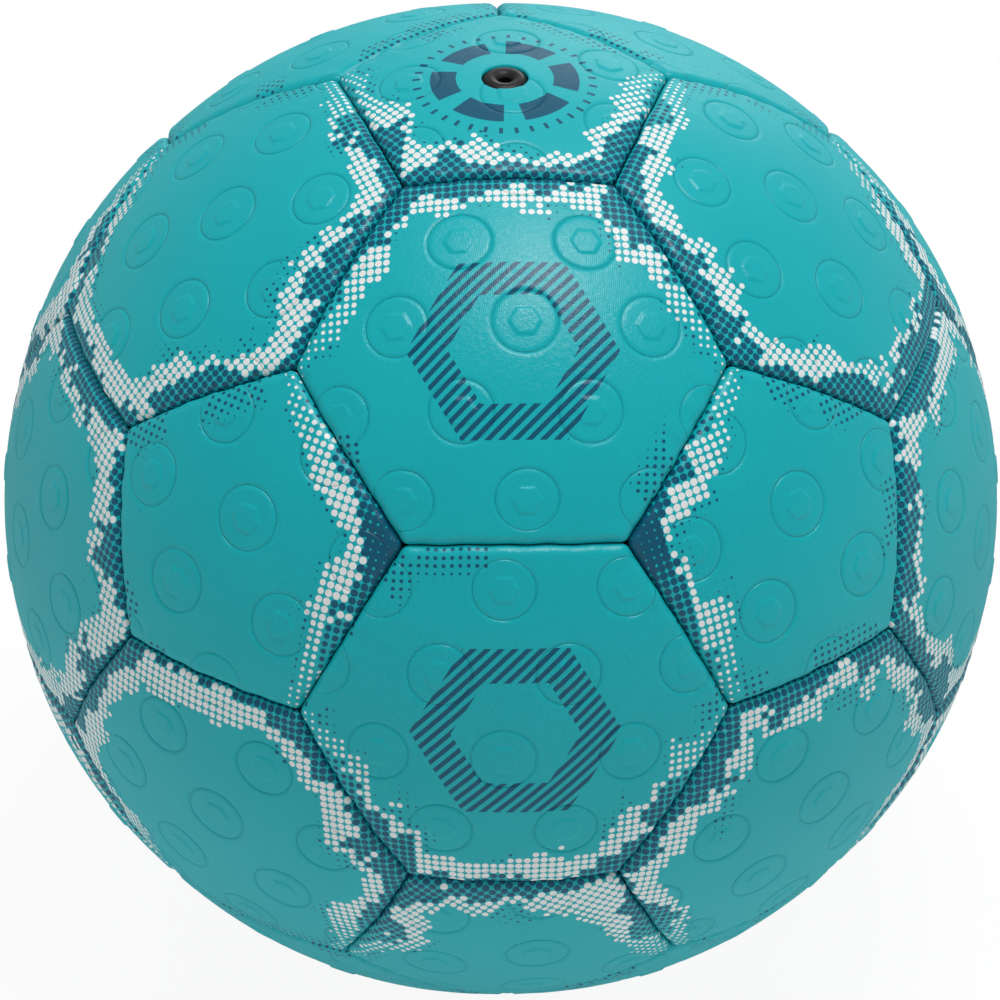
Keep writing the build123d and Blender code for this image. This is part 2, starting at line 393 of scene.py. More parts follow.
def roundels(chart, sides):
    """Height of the embossing at places of the flat chart; it dies out by the panel's edges."""
    flat = chart * BALL_RADIUS
    up, along = (flat - ROUNDEL_START).T
    row = np.round(up / ROUNDEL_ROW)
    shift = (row % 2) * ROUNDEL_COLUMN / 2
    column = np.round((along - shift) / ROUNDEL_COLUMN)
    place = np.stack([up - row * ROUNDEL_ROW, along - column * ROUNDEL_COLUMN - shift], 1)
    distance = np.hypot(place[:, 0], place[:, 1])
    bearings = np.arange(3) * math.pi / 3
    across = np.abs(place @ np.stack([np.cos(bearings), np.sin(bearings)])).max(1)
    groove = -GROOVE_DEPTH * np.exp(-(((distance - ROUNDEL_RADIUS) / GROOVE_WIDTH) ** 2))
    edge = np.clip((NUB_RADIUS + NUB_EDGE - across) / NUB_EDGE, 0, 1)
    azimuths = np.array([azimuth for azimuth, _ in sides])
    room = side_reaches(sides, FACE_INSET) - chart @ np.stack([np.cos(azimuths), np.sin(azimuths)])
    fade = np.clip(room.min(1) * BALL_RADIUS / EMBOSSING_FADE, 0, 1)
    return fade * (groove + NUB_HEIGHT * edge * edge * (3 - 2 * edge))


def grid_faces(starts, first, last, count):
    """Triangles between the rows of a face, from the middle out; row n has n steps on each side."""
    faces = []
    for row in range(first, last):
        side, place = np.divmod(np.arange(count * (row + 1)), row + 1)
        inner = starts[row] + (side * row + place) % max(count * row, 1)
        outer = starts[row + 1] + side * (row + 1) + place
        after = starts[row + 1] + (side * (row + 1) + place + 1) % (count * (row + 1))
        faces.append(np.stack([inner, outer, after], 1))
        side, place = np.divmod(np.arange(count * row), max(row, 1))
        here = starts[row] + side * row + place
        beside = starts[row] + (side * row + place + 1) % max(count * row, 1)
        across = starts[row + 1] + side * (row + 1) + place + 1
        faces.append(np.stack([here, across, beside], 1))
    return np.concatenate(faces).tolist()


def strip_faces(first, second, length, ratio=1):
    """Faces between two closed rings; the first may have a whole ratio more points than the second."""
    faces = []
    for place in range(length):
        near = [first + (place * ratio + step) % (length * ratio) for step in range(ratio + 1)]
        faces.append([near[0], second + place, second + (place + 1) % length, *near[:0:-1]])
    return faces


# The shoulder from the face's edge to the seam: how far in and how far down it lies, and the length round it
FACE_INSET = SEAM_HALF_GAP + ROLL_WIDTH
bends = np.linspace(0, math.pi / 2, ROLL_ROWS + 1)
shoulder = np.stack([ROLL_WIDTH * (1 - np.sin(bends)), ROLL_DEPTH * (1 - np.cos(bends))], 1)
shoulder_arc = np.concatenate([[0], np.cumsum(np.linalg.norm(np.diff(shoulder, axis=0), axis=1))])


def sheet_spread(sides):
    """How much the flat sheet grows from the face's edge to each row of the shoulder."""
    return 1 + shoulder_arc / (BALL_RADIUS * side_reaches(sides, FACE_INSET).min())


MAP_MIDDLE = 0.5
MAP_HALF = 0.485
BACK_MAP_MIDDLE = 0.025
BACK_MAP_HALF = 0.015


def cut_pattern(name, sides, rows, hole=0.0, hole_rows=0):
    """The mesh of a kind of panel in its own frame: full face, rolled shoulders, turned-in edges, back."""
    count = len(sides)
    lift = dome_lift(sides)
    places, flats, starts = [], [], []

    def dome(chart):
        cosine = 1 / np.sqrt(1 + (chart**2).sum(1))
        return lift * cosine + np.sqrt((BALL_RADIUS - lift) ** 2 - lift**2 * (1 - cosine**2))

    def ring(chart, radius, flat):
        rays = np.column_stack([chart, np.ones(len(chart))])
        starts.append(sum(len(group) for group in places))
        places.append(rays * (radius / np.linalg.norm(rays, axis=1))[:, None])
        flats.append(flat * BALL_RADIUS)

    def edge_ring(inset, shares):
        return outline(sides, SEAM_HALF_GAP + inset, CORNER_ROUNDING - inset, shares).reshape(-1, 2)

    def face_ring(row, of_rows, first):
        edge = edge_ring(ROLL_WIDTH, np.arange(max(row, 1)) / max(row, 1))[: max(count * row, 1)]
        rim = edge / np.linalg.norm(edge, axis=1)[:, None] * hole / BALL_RADIUS
        return rim + (edge - rim) * (row - first) / (of_rows - first)

    # The face, then the shoulder and the turned-in edge
    for row in range(hole_rows, rows + 1):
        chart = face_ring(row, rows, hole_rows)
        ring(chart, dome(chart) + roundels(chart, sides), chart)
    shares = np.arange(rows) / rows
    edge = edge_ring(ROLL_WIDTH, shares)
    for (inset, drop), growth in list(zip(shoulder, sheet_spread(sides)))[1:]:
        chart = edge_ring(inset, shares)
        ring(chart, dome(chart) - drop, edge * growth)
    ring(chart, np.full(len(chart), FLANGE_FOOT), edge * growth)

    # The back, in fewer rows
    back_rows, back_hole_rows = rows // BACK_RATIO, hole_rows // BACK_RATIO
    chart = edge_ring(SKIN, np.arange(back_rows) / back_rows)
    ring(chart, np.full(len(chart), FLANGE_FOOT), chart)
    ring(chart, dome(chart) - ROLL_DEPTH, chart)
    for row in range(back_rows, back_hole_rows - 1, -1):
        chart = face_ring(row, back_rows, back_hole_rows)
        ring(chart, dome(chart) - SKIN, chart)

    rim_row = rows - hole_rows
    foot = rim_row + ROLL_ROWS + 1
    faces = grid_faces(dict(zip(range(hole_rows, rows + 1), starts)), hole_rows, rows, count)
    for first, second in zip(starts[rim_row:foot], starts[rim_row + 1:foot + 1]):
        faces += strip_faces(first, second, rows * count)
    back_starts = dict(zip(range(back_rows, back_hole_rows - 1, -1), starts[foot + 3:]))
    if hole_rows:
        rim = strip_faces(starts[0], back_starts[back_hole_rows], back_hole_rows * count, BACK_RATIO)
        faces += [face[::-1] for face in rim]
    front_faces = len(faces)
    faces += strip_faces(starts[foot], starts[foot + 1], back_rows * count, BACK_RATIO)
    for first, second in zip(starts[foot + 1:foot + 3], starts[foot + 2:foot + 4]):
        faces += strip_faces(first, second, back_rows * count)
    faces += [face[::-1] for face in grid_faces(back_starts, back_hole_rows, back_rows, count)]

    flat = np.concatenate(flats)
    mesh = bpy.data.meshes.new(name)
    mesh.from_pydata(np.concatenate(places).tolist(), [], faces)
    mesh.polygons.foreach_set("use_smooth", np.ones(len(faces), bool))
    mesh.polygons.foreach_set("material_index", (np.arange(len(faces)) >= front_faces).astype(np.int32))
    sheet = np.column_stack([flat, np.zeros(len(flat))]).astype(np.float32)
    mesh.attributes.new("flat_sheet", "FLOAT_VECTOR", "POINT").data.foreach_set("vector", sheet.ravel())

    # The map for baking: the printed side fills the square, and the back has a small place in a corner
    corners = np.concatenate(faces)
    front_corners = sum(len(face) for face in faces[:front_faces])
    on_map = flat[corners] / np.abs(flat).max()
    on_map[:front_corners] = MAP_MIDDLE + MAP_HALF * on_map[:front_corners]
    on_map[front_corners:] = BACK_MAP_MIDDLE + BACK_MAP_HALF * on_map[front_corners:]
    mesh.uv_layers.new(name="OFBake").data.foreach_set("uv", on_map.astype(np.float32).ravel())
    return mesh


def sew(name, pattern, sides, axis, toward):
    """One panel cut to a pattern, sewn into its place on the ball."""
    turn = panel_turn(axis, toward)
    normals = np.array([direction(azimuth + math.pi, math.pi / 2 - tilt) for azimuth, tilt in sides]) @ turn
    middles = np.array([direction(azimuth, tilt) for azimuth, tilt in sides]) @ turn
    mesh = pattern.copy()
    mesh.name = name
    points = np.zeros(3 * len(mesh.vertices), np.float32)
    mesh.vertices.foreach_get("co", points)
    points = sewn(points.reshape(-1, 3).astype(float) @ turn, normals, middles)
    mesh.vertices.foreach_set("co", points.astype(np.float32).ravel())
    mesh.update()
    made = bpy.data.objects.new(name, mesh)
    bpy.context.scene.collection.objects.link(made)
    return made


def mark(piece, name, value):
    """Stores one value, a number or three, for a whole panel, for its finish to read."""
    kind, field = ("FLOAT_VECTOR", "vector") if np.ndim(value) else ("FLOAT", "value")
    data = np.tile(np.array(value, np.float32), len(piece.data.vertices))
    piece.data.attributes.new(name, kind, "POINT").data.foreach_set(field, data)


def nearest_node(prefix, axis):
    """The node of a family whose middle lies most nearly along an axis."""
    middles = {node: sum(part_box(node), Vector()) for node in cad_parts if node.startswith(prefix)}
    return max(middles, key=lambda node: middles[node].normalized().dot(axis))


# Soft leather: a fine crossed grain with pores, slight clouds in the dye, and a sheen that the pores vary
GRAIN_PITCH = 0.00048
GRAIN_WOBBLE = 0.0009
GRAIN_WOBBLE_SCALE = 900.0
GRAIN_BEARINGS = (0.62, -0.87)
GRAIN_SHARE = 0.35
PORE_SCALE = 1300.0
CLOUD_SCALE = 60.0
CLOUD_DETAIL = 5.0
LEATHER_ROUGHNESS = 0.17
PORE_ROUGHNESS = 0.10
leather_group, leather_in, leather_out = new_group(
    "soft_leather",
    [("Sheet", VECTOR), ("Seed", FLOAT)],
    [("Cloud", FLOAT), ("Roughness", FLOAT), ("Height", FLOAT)],
)
sheet = leather_in.outputs["Sheet"]
wobble_places = {"Vector": sheet, "Scale": GRAIN_WOBBLE_SCALE}
wobble = add(leather_group, "ShaderNodeTexNoise", wobble_places).outputs["Fac"]
grains = []
for bearing in GRAIN_BEARINGS:
    run = (math.cos(bearing), math.sin(bearing), 0)
    across = vector_of(leather_group, "DOT_PRODUCT", sheet, run, output="Value")
    across = math_of(leather_group, "MULTIPLY_ADD", wobble, GRAIN_WOBBLE, across)
    turns = math_of(leather_group, "MULTIPLY", across, math.tau / GRAIN_PITCH)
    grains.append(math_of(leather_group, "SINE", turns))
weave = math_of(leather_group, "MULTIPLY", *grains)
pores = add(leather_group, "ShaderNodeTexVoronoi", {"Vector": sheet, "Scale": PORE_SCALE}).outputs["Distance"]
height = math_of(leather_group, "MULTIPLY_ADD", weave, GRAIN_SHARE, pores)
seed = leather_in.outputs["Seed"]
cloud_places = {"Vector": sheet, "W": seed, "Scale": CLOUD_SCALE, "Detail": CLOUD_DETAIL}
clouds = add(leather_group, "ShaderNodeTexNoise", cloud_places, noise_dimensions="4D").outputs["Fac"]
rough = math_of(leather_group, "MULTIPLY_ADD", pores, PORE_ROUGHNESS, LEATHER_ROUGHNESS)
for label, source in (("Cloud", clouds), ("Roughness", rough), ("Height", height)):
    leather_group.links.new(source, leather_out.inputs[label])

# The sharp bottom of the roundels' ring groove, which is finer than the mesh
RING_LINE = 0.00024
RING_LINE_DEPTH = 0.00012
ring_group, ring_in, ring_out = new_group("ring_groove", [("Sheet", VECTOR)], [("Height", FLOAT)])
from_start = vector_of(ring_group, "SUBTRACT", ring_in.outputs["Sheet"], (*ROUNDEL_START, 0))
up, along, _ = add(ring_group, "ShaderNodeSeparateXYZ", {0: from_start}).outputs
row = math_of(ring_group, "ROUND", math_of(ring_group, "DIVIDE", up, ROUNDEL_ROW))
odd = math_of(ring_group, "FLOORED_MODULO", row, 2.0)
along = math_of(ring_group, "MULTIPLY_ADD", odd, -ROUNDEL_COLUMN / 2, along)
column = math_of(ring_group, "ROUND", math_of(ring_group, "DIVIDE", along, ROUNDEL_COLUMN))
up = math_of(ring_group, "MULTIPLY_ADD", row, -ROUNDEL_ROW, up)
along = math_of(ring_group, "MULTIPLY_ADD", column, -ROUNDEL_COLUMN, along)
place = add(ring_group, "ShaderNodeCombineXYZ", {0: up, 1: along}).outputs[0]
reach = vector_of(ring_group, "LENGTH", place, output="Value")
beside = math_of(ring_group, "ABSOLUTE", math_of(ring_group, "SUBTRACT", reach, ROUNDEL_RADIUS))
ring_group.links.new(step_of(ring_group, beside, 0.0, RING_LINE), ring_out.inputs["Height"])

# Printed border: dots on a square grid, dark by the seam, then white, then small dark dots that die out
DOT_PITCH = 0.00145
DOT_SOFT_EDGE = 0.00007
EDGE_COVER_SHARE = 0.5
CELL_LEVEL = 0.5
DRIFT_SCALE = 75.0
RIPPLE_SCALE = 240.0
DRIFT_DETAIL = 1.0
RIPPLE_SHARES = (0.3, 0.7)
BORDER_WIDTHS = (0.0058, 0.0104)
WIDTH_DRIFT_SHARES = (0.34, 0.66)
EDGE_STEP_SHARES = (-0.24, 0.24)
DARK_DRIFT_SHARES = (0.38, 0.62)
DARK_BAND_SHARES = (0.16, 0.74)
DARK_STEP_SHARES = (-0.16, 0.16)
CHANCE_SHARES = (-0.12, 0.12)
CORNER_NEAR = 0.0035
CORNER_FAR = 0.0110
FADE_NEAR = 0.0010
FADE_FAR = 0.0220
FADED_SHARE = 0.36
FRINGE_DRIFT_SHARE = 0.47
FRINGE_SHARES = (1.0, 1.5)
SPECK_DRIFT_SHARE = 0.53
SPECKS_NEAR = 0.0045
SPECKS_FAR = 0.0085
FAR_AWAY = 0.05
DARK_DOT_SHARE = 0.455
CORNER_DARK_SHARE = 0.45
CORNER_DOT_SHARE = 0.19
WHITE_PLACE_SHARES = (0.7, 1.1)
WHITE_DOT_SHARES = (0.455, 0.35)
SMALL_DOT_SHARES = (0.25, -0.06)


def border_group(name, sides):
    """A node group that gives the masks of a panel's printed border; the bands say which sides have it."""
    bands = [("First Bands", VECTOR), ("Second Bands", VECTOR)]
    group, given, result = new_group(
        name,
        [("Sheet", VECTOR), ("Seed", FLOAT), ("Dark Corners", FLOAT), *bands],
        [("Petrol", FLOAT), ("White", FLOAT)],
    )

    def ramp(value, start, end, start_value, end_value):
        places = {0: value, 1: start, 2: end, 3: start_value, 4: end_value}
        return add(group, "ShaderNodeMapRange", places).outputs[0]

    def plus(first, second):
        return math_of(group, "ADD", first, second)

    def minus(first, second):
        return math_of(group, "SUBTRACT", first, second)

    def times(first, second):
        return math_of(group, "MULTIPLY", first, second)

    def less(value, limit):
        return math_of(group, "LESS_THAN", value, limit)

    def least(first, second):
        return math_of(group, "MINIMUM", first, second)

    def most(first, second):
        return math_of(group, "MAXIMUM", first, second)

    # The grid's cells, and the middle of each
    sheet = given.outputs["Sheet"]
    seed = math_of(group, "ROUND", given.outputs["Seed"])
    cells_per_metre = (1 / DOT_PITCH, 1 / DOT_PITCH, 0)
    in_cells = vector_of(group, "MULTIPLY_ADD", sheet, cells_per_metre, (0, 0, CELL_LEVEL))
    cell = vector_of(group, "FLOOR", in_cells)
    half_cell = (DOT_PITCH / 2, DOT_PITCH / 2, 0)
    centre = vector_of(group, "MULTIPLY_ADD", cell, (DOT_PITCH, DOT_PITCH, 0), half_cell)
    radius = vector_of(group, "DISTANCE", sheet, centre, output="Value")

    # How far a cell lies from the nearest side with a border, from the next such side, and from a bare side
    weights = [
        weight
        for label in ("First Bands", "Second Bands")
        for weight in add(group, "ShaderNodeSeparateXYZ", {0: given.outputs[label]}).outputs
    ]
    reaches = BALL_RADIUS * side_reaches(sides, FACE_INSET) * sheet_spread(sides)[-1]
    nearest = next_nearest = bare_side = FAR_AWAY
    for (azimuth, _), reach, weight in zip(sides, reaches, weights):
        outward = (math.cos(azimuth), math.sin(azimuth), 0)
        along = vector_of(group, "DOT_PRODUCT", centre, outward, output="Value")
        distance = minus(float(reach), along)
        bare_side = least(bare_side, math_of(group, "MULTIPLY_ADD", weight, FAR_AWAY, distance))
        bare = minus(1.0, weight)
        distance = math_of(group, "MULTIPLY_ADD", bare, FAR_AWAY, distance)
        next_nearest = least(next_nearest, most(nearest, distance))
        nearest = least(nearest, distance)
    any_side = least(nearest, bare_side)

    # The border's width and its dark share drift along the seams and fall towards the bare sides; its edges
    # are stepped, and chance mixes dots
    def three_of(texture):
        return add(group, "ShaderNodeSeparateColor", {0: texture.outputs["Color"]}).outputs

    def drifting(scale):
        places = {"Vector": centre, "W": seed, "Scale": scale, "Detail": DRIFT_DETAIL}
        return three_of(add(group, "ShaderNodeTexNoise", places, noise_dimensions="4D"))

    drifts, ripples = drifting(DRIFT_SCALE), drifting(RIPPLE_SCALE)
    single = {"Vector": cell, "W": seed}
    chances = three_of(add(group, "ShaderNodeTexWhiteNoise", single, noise_dimensions="4D"))
    strength = ramp(bare_side, FADE_NEAR, FADE_FAR, FADED_SHARE, 1.0)
    width = times(strength, ramp(drifts[0], *WIDTH_DRIFT_SHARES, *BORDER_WIDTHS))
    share = math_of(group, "DIVIDE", nearest, width)
    outer_share = plus(share, ramp(ripples[0], *RIPPLE_SHARES, *EDGE_STEP_SHARES))
    band = less(outer_share, 1.0)
    corner = times(given.outputs["Dark Corners"], ramp(next_nearest, CORNER_NEAR, CORNER_FAR, 1.0, 0.0))
    dark_share = times(strength, ramp(drifts[1], *DARK_DRIFT_SHARES, *DARK_BAND_SHARES))
    dark_share = plus(dark_share, times(corner, CORNER_DARK_SHARE))
    stepped_share = plus(share, ramp(ripples[1], *RIPPLE_SHARES, *DARK_STEP_SHARES))
    mixed_share = plus(stepped_share, ramp(chances[1], 0, 1, *CHANCE_SHARES))
    dark = times(band, less(mixed_share, dark_share))
    white = minus(band, dark)
    outside = minus(1.0, band)
    fringe = times(outside, less(drifts[2], FRINGE_DRIFT_SHARE))
    specks = times(outside, less(SPECK_DRIFT_SHARE, drifts[2]))

    # The dots are full by the sides with a border, and smaller where it weakens
    def dots(mask, size_share):
        room = minus(times(size_share, DOT_PITCH), radius)
        covered = math_of(group, "MULTIPLY_ADD", room, 1 / DOT_SOFT_EDGE, EDGE_COVER_SHARE, clamp=True)
        return times(mask, covered)

    dark_size = math_of(group, "MULTIPLY_ADD", corner, CORNER_DOT_SHARE, DARK_DOT_SHARE)
    petrol = dots(dark, times(strength, dark_size))
    petrol = most(petrol, dots(fringe, ramp(outer_share, *FRINGE_SHARES, *SMALL_DOT_SHARES)))
    petrol = most(petrol, dots(specks, ramp(any_side, SPECKS_NEAR, SPECKS_FAR, *SMALL_DOT_SHARES)))
    white_size = ramp(share, *WHITE_PLACE_SHARES, *WHITE_DOT_SHARES)
    group.links.new(petrol, result.inputs["Petrol"])
    group.links.new(dots(white, times(strength, white_size)), result.inputs["White"])
    return group


TEAL = (0.002, 0.400, 0.442, 1)
TEAL_DEEP = (0.001, 0.359, 0.404, 1)
PETROL = (0.000, 0.080, 0.145, 1)
PRINT_WHITE = (0.73, 0.75, 0.745, 1)
GRAIN_DEPTH = 0.00005
GRAIN_STRENGTH = 0.5
LEATHER_SPECULAR = 0.26
SLANT_ROUGHNESS = 0.52


def printed_leather(name, border):
    """The leather of a kind of panel with its border print, and what further print needs of it."""
    material, tree, shader = new_material(name)
    sheet = add(tree, "ShaderNodeAttribute", attribute_name="flat_sheet").outputs["Vector"]
    seed = add(tree, "ShaderNodeAttribute", attribute_name="panel_seed").outputs["Fac"]
    corners = add(tree, "ShaderNodeAttribute", attribute_name="dark_corners").outputs["Fac"]
    skin = add(tree, "ShaderNodeGroup", node_tree=leather_group)
    dots = add(tree, "ShaderNodeGroup", node_tree=border)
    for group in (skin, dots):
        tree.links.new(sheet, group.inputs["Sheet"])
        tree.links.new(seed, group.inputs["Seed"])
    tree.links.new(corners, dots.inputs["Dark Corners"])
    for label, attribute in (("First Bands", "first_bands"), ("Second Bands", "second_bands")):
        bands = add(tree, "ShaderNodeAttribute", attribute_name=attribute).outputs["Vector"]
        tree.links.new(bands, dots.inputs[label])
    colour = blend_of(tree, skin.outputs["Cloud"], TEAL_DEEP, TEAL)
    colour = blend_of(tree, dots.outputs["Petrol"], colour, PETROL)
    colour = blend_of(tree, dots.outputs["White"], colour, PRINT_WHITE)
    ring = add(tree, "ShaderNodeGroup", {"Sheet": sheet}, node_tree=ring_group)
    groove = add(tree, "ShaderNodeBump", {"Height": ring.outputs["Height"], "Distance": RING_LINE_DEPTH})
    grain = {"Height": skin.outputs["Height"], "Strength": GRAIN_STRENGTH, "Distance": GRAIN_DEPTH}
    bump = add(tree, "ShaderNodeBump", {**grain, "Normal": groove.outputs["Normal"]})
    tree.links.new(bump.outputs["Normal"], shader.inputs["Normal"])
    slant = add(tree, "ShaderNodeLayerWeight").outputs["Facing"]
    rough = math_of(tree, "MULTIPLY_ADD", slant, SLANT_ROUGHNESS, skin.outputs["Roughness"], clamp=True)
    tree.links.new(rough, shader.inputs["Roughness"])
    tree.links.new(colour, shader.inputs["Base Color"])
    shader.inputs["Specular IOR Level"].default_value = LEATHER_SPECULAR
    return material, tree, shader, sheet, colour


# A hatched hexagon ring, printed in the middle of the two front and the two rear hexagons
HATCH_PITCH = 0.0016
HATCH_INNER = 0.0092
HATCH_OUTER = 0.0152
HATCH_LINE_SHARE = 0.7
HATCH_SHARPNESS = 5.0
HATCH_SLANT = (math.sqrt(0.5), math.sqrt(0.5), 0)
hexagon_border = border_group("hexagon_border", hexagon_sides)
hexagon_leather, tree, shader, sheet, colour = printed_leather("hexagon_leather", hexagon_border)


def ring_of(tree, reach, inner, outer):
    """Mask of a ring, from its inner to its outer reach."""
    beyond = math_of(tree, "GREATER_THAN", reach, inner)
    return math_of(tree, "MULTIPLY", beyond, math_of(tree, "LESS_THAN", reach, outer))


across = 0.0
for k in range(3):
    outward = (math.cos(math.pi / 3 * k), math.sin(math.pi / 3 * k), 0)
    reach = math_of(tree, "ABSOLUTE", vector_of(tree, "DOT_PRODUCT", sheet, outward, output="Value"))
    across = math_of(tree, "MAXIMUM", across, reach)
ring = ring_of(tree, across, HATCH_INNER, HATCH_OUTER)
slant = vector_of(tree, "DOT_PRODUCT", sheet, HATCH_SLANT, output="Value")
lines = math_of(tree, "SINE", math_of(tree, "MULTIPLY", slant, math.tau / HATCH_PITCH))
lines = math_of(tree, "MULTIPLY_ADD", lines, HATCH_SHARPNESS, HATCH_LINE_SHARE, clamp=True)
shown = add(tree, "ShaderNodeAttribute", attribute_name="hatched").outputs["Fac"]
hatch = math_of(tree, "MULTIPLY", math_of(tree, "MULTIPLY", ring, lines), shown)
tree.links.new(blend_of(tree, hatch, colour, PETROL), shader.inputs["Base Color"])

# The back of the leather, a pale brushed cloth
BACK_PALE = (0.55, 0.56, 0.53, 1)
BACK_GREY = (0.42, 0.44, 0.42, 1)
NAP_SCALE = 1800.0
NAP_DETAIL = 3.0
NAP_ROUGHNESS = 0.95
leather_back, tree, shader = new_material("leather_back")
where = add(tree, "ShaderNodeTexCoord").outputs["Object"]
nap_places = {"Vector": where, "Scale": NAP_SCALE, "Detail": NAP_DETAIL}
nap = add(tree, "ShaderNodeTexNoise", nap_places).outputs["Fac"]
tree.links.new(blend_of(tree, nap, BACK_GREY, BACK_PALE), shader.inputs["Base Color"])
shader.inputs["Roughness"].default_value = NAP_ROUGHNESS

# Two pairs of hexagons, at the front and at the rear, carry the motif; what lies round them has the border,
# and the seams above the rear pair and below the front pair are bare
MOTIF_COSINE = 0.9
FLANK_COSINE = 0.75
BARE_LEVEL = 0.5
BARE_LEAN = 0.1
MOST_SIDES = 6
front_seam = (upper_ring[0] + upper_ring[4]).normalized()
motif_axes = [axis for axis in hexagon_axes if abs(axis.dot(front_seam)) > MOTIF_COSINE]
flank_axes = [
    axis
    for axis in upper_ring + lower_ring
    if sum(axis.dot(motif) > FLANK_COSINE for motif in motif_axes) > 1
]


def band_weights(axis, toward, sides):
    """Which sides of a panel have the printed border, as two sets of three."""
    weights = []
    turn = panel_turn(axis, toward)
    for azimuth, tilt in sides:
        middle = Vector(np.array(direction(azimuth, tilt)) @ turn)
        others = [other for other in hexagon_axes + pentagon_axes if other != axis]
        other = max(others, key=middle.dot)
        bare = axis in motif_axes and (other in motif_axes or other in flank_axes)
        bare = bare or (axis in flank_axes and other not in motif_axes)
        bare = bare or (abs(middle.z) > BARE_LEVEL and middle.y * middle.z > BARE_LEAN)
        weights.append(0.0 if bare else 1.0)
    weights += [0.0] * (MOST_SIDES - len(weights))
    return weights[:3], weights[3:]


def cover(piece, node, seed, axis, toward, sides, material):
    """Sets a leather panel on the ball in the place of its node, with its print."""
    first, second = band_weights(axis, toward, sides)
    mark(piece, "panel_seed", seed)
    mark(piece, "dark_corners", 1.0 if axis in flank_axes else 0.0)
    mark(piece, "first_bands", first)
    mark(piece, "second_bands", second)
    piece.data.materials.append(material)
    piece.data.materials.append(leather_back)
    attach(piece, "root")
    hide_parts(node)


hexagon_pattern = cut_pattern("hexagon_pattern", hexagon_sides, HEXAGON_ROWS)
for axis, triple in zip(hexagon_axes, corner_triples):
    node = nearest_node("hexagon_panel", axis)
    number = node[-2:]
    level = sum(corner.z for corner in triple) / len(triple)
    toward = max(triple, key=lambda corner: abs(corner.z - level))
    piece = sew(f"hexagon_leather_{number}", hexagon_pattern, hexagon_sides, axis, toward)
    mark(piece, "hatched", 1.0 if axis in motif_axes else 0.0)
    cover(piece, node, float(number), axis, toward, hexagon_sides, hexagon_leather)
bpy.data.meshes.remove(hexagon_pattern)

# Pentagon panels
# Eleven pentagons of the same printed leather, sewn between the hexagons, each between five of them.
# They are cut, printed, padded and turned in like the hexagons.
PENTAGON_ROWS = 104
PENTAGON_FIRST_SEED = 40.0
pentagon_border = border_group("pentagon_border", pentagon_sides)
pentagon_leather, *_ = printed_leather("pentagon_leather", pentagon_border)


def neighbour_of(axis):
    """The direction of a neighbouring pentagon."""
    return next(other for other in pentagon_axes if other != axis and other.dot(axis) > 0)


pentagon_pattern = cut_pattern("pentagon_pattern", pentagon_sides, PENTAGON_ROWS)
for axis in pentagon_axes[1:]:
    node = nearest_node("pentagon_panel", axis)
    number = node[-2:]
    toward = neighbour_of(axis)
    piece = sew(f"pentagon_leather_{number}", pentagon_pattern, pentagon_sides, axis, toward)
    cover(piece, node, PENTAGON_FIRST_SEED + float(number), axis, toward, pentagon_sides, pentagon_leather)
bpy.data.meshes.remove(pentagon_pattern)

# Valve panel
# The twelfth pentagon, pierced in the middle for the valve, with a plain printed dial round the hole.
# Its hole is punched through leather, foam and lining before the panel is sewn in.
VALVE_HOLE = 0.0040
HOLE_ROWS = 16
VALVE_SEED = 62.0
DIAL_INNER = 0.0082
DIAL_OUTER = 0.0126
DIAL_GAPS = 6
DIAL_SHARE = 0.72
TICK_INNER = 0.0142
TICK_OUTER = 0.0156
TICKS = 36
TICK_SHARE = 0.25
valve_leather, tree, shader, sheet, colour = printed_leather("valve_leather", pentagon_border)
sheet_places = add(tree, "ShaderNodeSeparateXYZ", {0: sheet}).outputs
reach = vector_of(tree, "LENGTH", sheet, output="Value")
bearing = math_of(tree, "ARCTAN2", sheet_places[1], sheet_places[0])


def dial_marks(inner, outer, count, share):
    """Mask of a ring of marks round the valve, each a share of its step."""
    ring = ring_of(tree, reach, inner, outer)
    wave = math_of(tree, "COSINE", math_of(tree, "MULTIPLY", bearing, float(count)))
    return math_of(tree, "MULTIPLY", ring, math_of(tree, "GREATER_THAN", wave, math.cos(math.pi * share)))


dial = dial_marks(DIAL_INNER, DIAL_OUTER, DIAL_GAPS, DIAL_SHARE)
dial = math_of(tree, "MAXIMUM", dial, dial_marks(TICK_INNER, TICK_OUTER, TICKS, TICK_SHARE))
tree.links.new(blend_of(tree, dial, colour, PETROL), shader.inputs["Base Color"])
axis = pentagon_axes[0]
toward = neighbour_of(axis)
valve_pattern = cut_pattern("valve_pattern", pentagon_sides, PENTAGON_ROWS, VALVE_HOLE, HOLE_ROWS)
piece = sew("valve_leather", valve_pattern, pentagon_sides, axis, toward)
bpy.data.meshes.remove(valve_pattern)
cover(piece, "valve_panel", VALVE_SEED, axis, toward, pentagon_sides, valve_leather)

# Valve plug
# The replaceable valve of moulded black rubber: a ring-shaped head, a stem and a holding bulb.
# It is pushed into the boot, and an inflating needle goes in through the hole in its head.
PLUG_BLACK = (0.004, 0.004, 0.004, 1)
PLUG_BLOOM = (0.010, 0.010, 0.011, 1)
PLUG_ROUGHNESS = 0.42
PLUG_PIT_DEPTH = 0.00002
dress("valve_plug", rubber("valve_rubber", PLUG_BLACK, PLUG_BLOOM, PLUG_ROUGHNESS, PLUG_PIT_DEPTH))

# Studio
# A white floor that turns up into a low round wall, a plain white world, a soft lamp above the ball
# and a weaker one low behind it.
FLOOR_WHITE = (0.95, 0.95, 0.95, 1)
FLOOR_ROUGHNESS = 1.0
FLOOR_SHOWN_SHARE = 0.92
FULL_WHITE = (1, 1, 1, 1)
FULL_WHITE_STRENGTH = 1.0
FLOOR_RADIUS = 3.0
WALL_HEIGHT = 0.5
WALL_STEPS = 96
WORLD_LEVEL = 0.50
